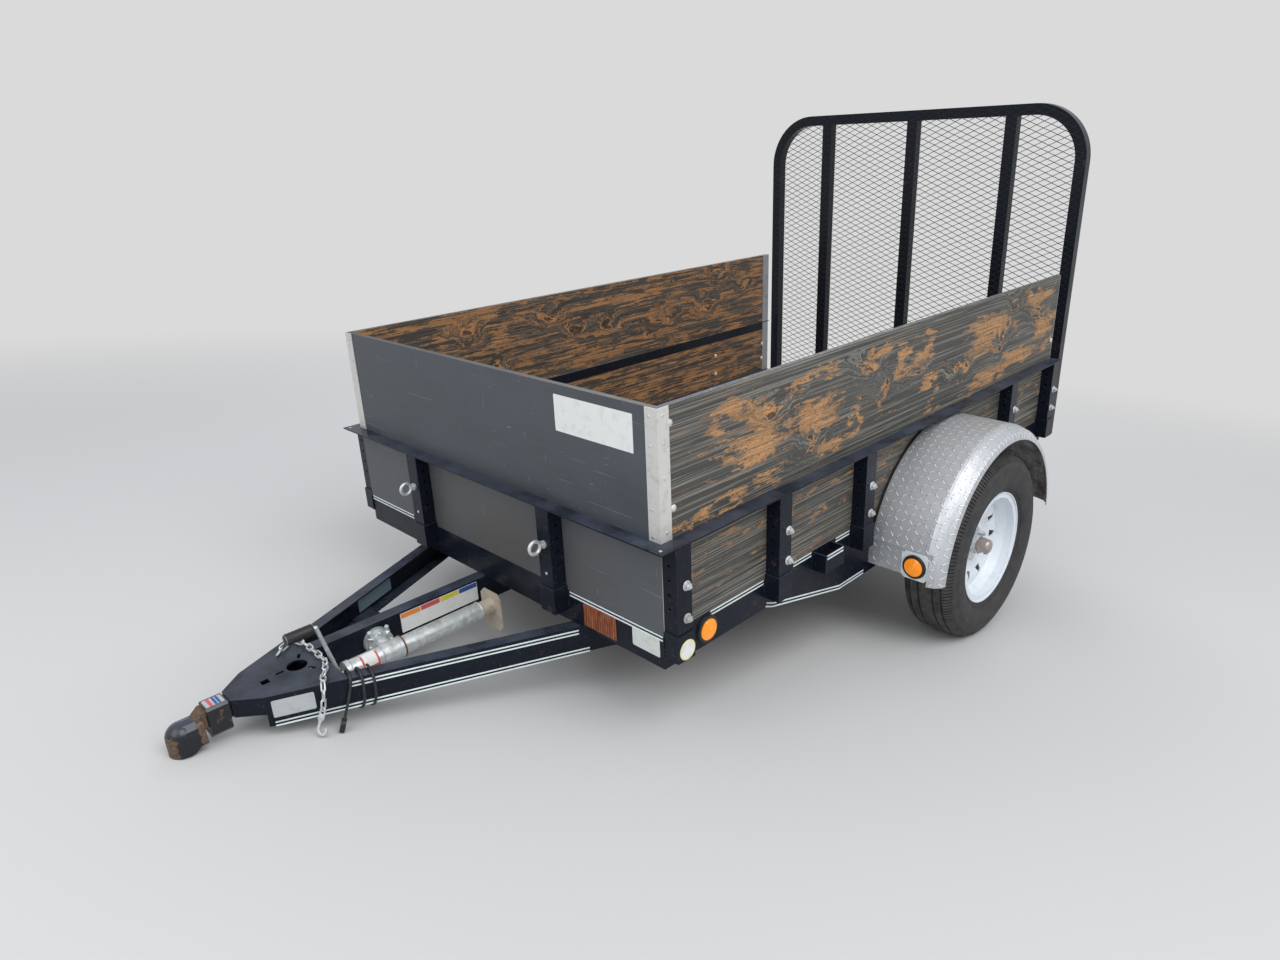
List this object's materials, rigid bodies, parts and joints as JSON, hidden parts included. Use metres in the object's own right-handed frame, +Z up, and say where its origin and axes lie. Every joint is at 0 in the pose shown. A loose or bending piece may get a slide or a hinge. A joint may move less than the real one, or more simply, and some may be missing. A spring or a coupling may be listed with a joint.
{
  "type": "utility trailer",
  "caption": "Single-axle utility trailer with stake-pocket wooden sides, a mesh ramp gate that folds down, tread-plate fenders and a swing-down tongue jack, resting on its coupler.",
  "frame": {"origin": "bottom centre of the parked trailer's bounding box, on the ground", "axes": "+X forward towards the coupler, +Y to the left, +Z up; the bed is pitched nose down"},
  "size_m": [3.5486, 2.092, 1.9856],
  "materials": {
    "black_paint": "gloss black paint, worn",
    "galvanised": "zinc galvanised steel",
    "aluminium": "bare aluminium tread plate",
    "white_paint": "white enamel",
    "dark_board": "dark stained plywood",
    "stained_board": "black stain worn to brown wood",
    "deck_wood": "weathered planks",
    "tyre": "rubber tyre",
    "steel": "plain steel",
    "black_plastic": "black plastic",
    "amber_lens": "amber lens",
    "red_lens": "red lens"
  },
  "bodies": {
    "trailer": {"perimeter_frame": "black_paint", "crossmembers": "black_paint", "deck_boards": "deck_wood", "lower_board_front": "dark_board", "lower_board_left": "stained_board", "lower_board_right": "stained_board", "upper_board_front": "dark_board", "upper_board_left": "stained_board", "upper_board_right": "stained_board", "mid_rail": "black_paint", "uprights": "black_paint", "stake_pockets": "black_paint", "corner_trims": "galvanised", "end_jambs": "galvanised", "tongue_leg_left": "black_paint", "tongue_leg_right": "black_paint", "tongue_centre": "black_paint", "tongue_gusset": "steel", "coupler_plate": "black_paint", "coupler_head": "black_paint", "coupler_collar": "black_paint", "leaf_springs": "galvanised", "spring_hangers": "black_paint", "side_plates": "black_paint", "axle": "black_paint", "axle_clamps": "steel", "fender_left": "aluminium", "fender_right": "aluminium", "marker_lamps": "amber_lens", "lamp_grommets": "black_plastic", "lamp_plates": "white_paint", "tail_lamps": "red_lens", "gate_hinges": "black_paint", "jack_mount": "galvanised", "eye_bolts": "galvanised", "safety_chain": "galvanised", "wiring_lead": "black_plastic", "wiring_plug": "black_plastic"},
    "wheel_left": {"tyre_left": "tyre", "rim_left": "white_paint", "hub_left": "galvanised"},
    "wheel_right": {"tyre_right": "tyre", "rim_right": "white_paint", "hub_right": "galvanised"},
    "gate": {"gate_frame": "black_paint", "gate_bars": "black_paint", "gate_mesh": "black_paint"},
    "jack": {"jack_outer": "galvanised", "jack_crank": "galvanised"},
    "jack_leg": {"jack_foot": "galvanised"}
  },
  "joints": [
    {"name": "wheel_left_spin", "type": "hinge", "parent": "trailer", "child": "wheel_left", "pos_m": [-0.69172, 0.942, 0.343], "axis": [0, 1, 0], "continuous": true},
    {"name": "wheel_right_spin", "type": "hinge", "parent": "trailer", "child": "wheel_right", "pos_m": [-0.69172, -0.942, 0.343], "axis": [0, 1, 0], "continuous": true},
    {"name": "gate_fold", "type": "hinge", "parent": "trailer", "child": "gate", "pos_m": [-1.69495, 0, 0.60534], "axis": [0, -1, 0], "range_deg": [0, 115]},
    {"name": "jack_swing", "type": "hinge", "parent": "trailer", "child": "jack", "pos_m": [1.16094, 0.04, 0.12473], "axis": [0, -1, 0], "range_deg": [0, 90]},
    {"name": "jack_extend", "type": "slide", "parent": "jack", "child": "jack_leg", "axis": [-0.9902, 0, 0.1393], "range_m": [0, 0.254]}
  ]
}
